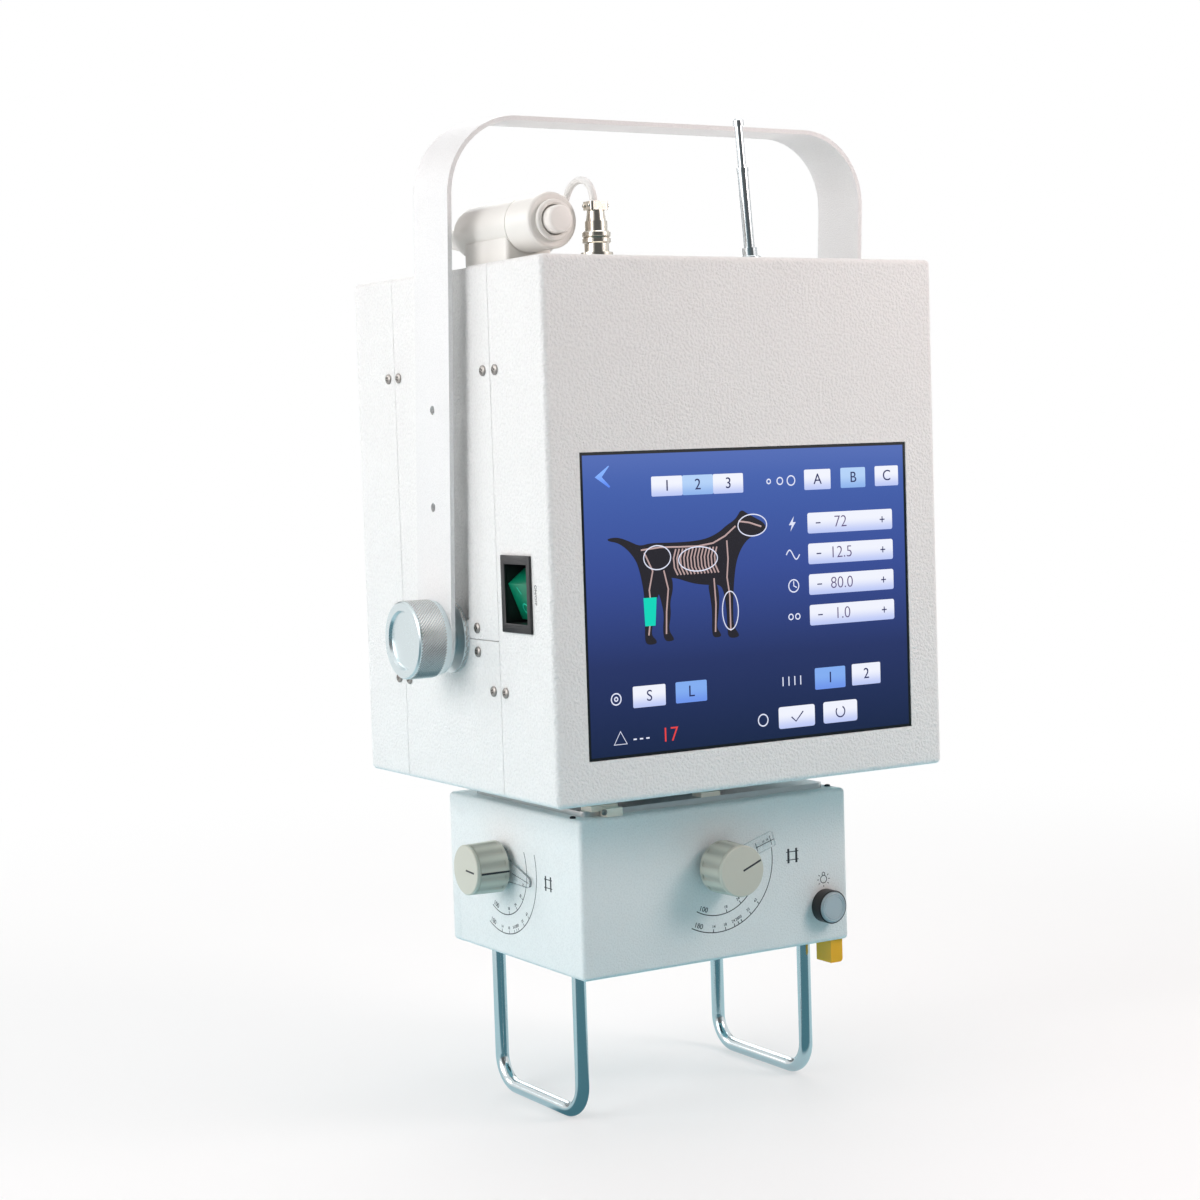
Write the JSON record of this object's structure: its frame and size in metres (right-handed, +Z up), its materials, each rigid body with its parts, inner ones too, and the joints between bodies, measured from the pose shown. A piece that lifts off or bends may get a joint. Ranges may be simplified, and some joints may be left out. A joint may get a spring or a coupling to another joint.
{
  "type": "portable x-ray machine",
  "caption": "Portable x-ray machine: white box housing with a touch screen, carrying bail, hand switch and antenna, on a collimator with knobs and bent-rod feet",
  "frame": {"origin": "on the floor, under the middle of the housing", "axes": "+Z up, +X to the right as seen from the front, +Y to the back; the screen faces -Y"},
  "size_m": [0.3192, 0.222, 0.5613],
  "materials": {
    "white_case": "fine leather-grain powder coat",
    "dark_block": "matt",
    "screen": "gloss",
    "black_plastic": "satin",
    "green_clear": "translucent",
    "aluminium_knurled": "satin, knurled",
    "white_plastic": "semi-gloss",
    "plated_brass": "polished plating",
    "white_cable": "satin",
    "chrome": "polished",
    "polished_steel": "polished",
    "grey_steel": "satin",
    "clear_plastic": "clear acrylic",
    "knob_grey": "satin",
    "yellow_plastic": "satin"
  },
  "bodies": {
    "housing": {"antenna_base": "chrome", "antenna_lower": "chrome", "beam_shutter": "dark_block", "cable_coil": "white_cable", "cable_front": "white_cable", "cable_plug": "plated_brass", "cable_rear": "white_cable", "cable_socket": "plated_brass", "clamp_front": "polished_steel", "clamp_rear": "polished_steel", "collimator_base": "grey_steel", "collimator_case": "white_case", "exit_window": "clear_plastic", "front_cover": "white_case", "front_pointer": "clear_plastic", "front_shutter_knob": "knob_grey", "generator_tank": "dark_block", "hand_switch_button": "white_plastic", "hand_switch_cradle": "white_plastic", "hand_switch_grip": "white_plastic", "left_clamp_knob": "aluminium_knurled", "left_pivot_disc": "aluminium_knurled", "left_rod_loop": "polished_steel", "light_button_bezel": "black_plastic", "light_button_cap": "clear_plastic", "mains_inlet": "black_plastic", "middle_lower": "white_case", "middle_upper": "white_case", "mounting_plate": "polished_steel", "plate_pad_front": "polished_steel", "plate_pad_rear": "polished_steel", "port_neck": "polished_steel", "rear_cover": "white_case", "right_clamp_knob": "aluminium_knurled", "right_pivot_disc": "aluminium_knurled", "right_rod_loop": "polished_steel", "rocker_button": "green_clear", "rocker_frame": "black_plastic", "screen_panel": "screen", "side_pointer": "clear_plastic", "side_shutter_knob": "knob_grey", "tape_tab": "yellow_plastic"},
    "bail": {"carrying_bail": "white_case"},
    "antenna_rod": {"antenna_upper": "chrome"}
  },
  "joints": [
    {"name": "bail_swing", "type": "hinge", "parent": "housing", "child": "bail", "pos_m": [0, 0, 0.275], "axis": [1, 0, 0], "range_deg": [-94, 5]},
    {"name": "antenna_draw", "type": "slide", "parent": "housing", "child": "antenna_rod", "axis": [-0.0758, 0, 0.9971], "range_m": [-0.02, 0.006]}
  ]
}
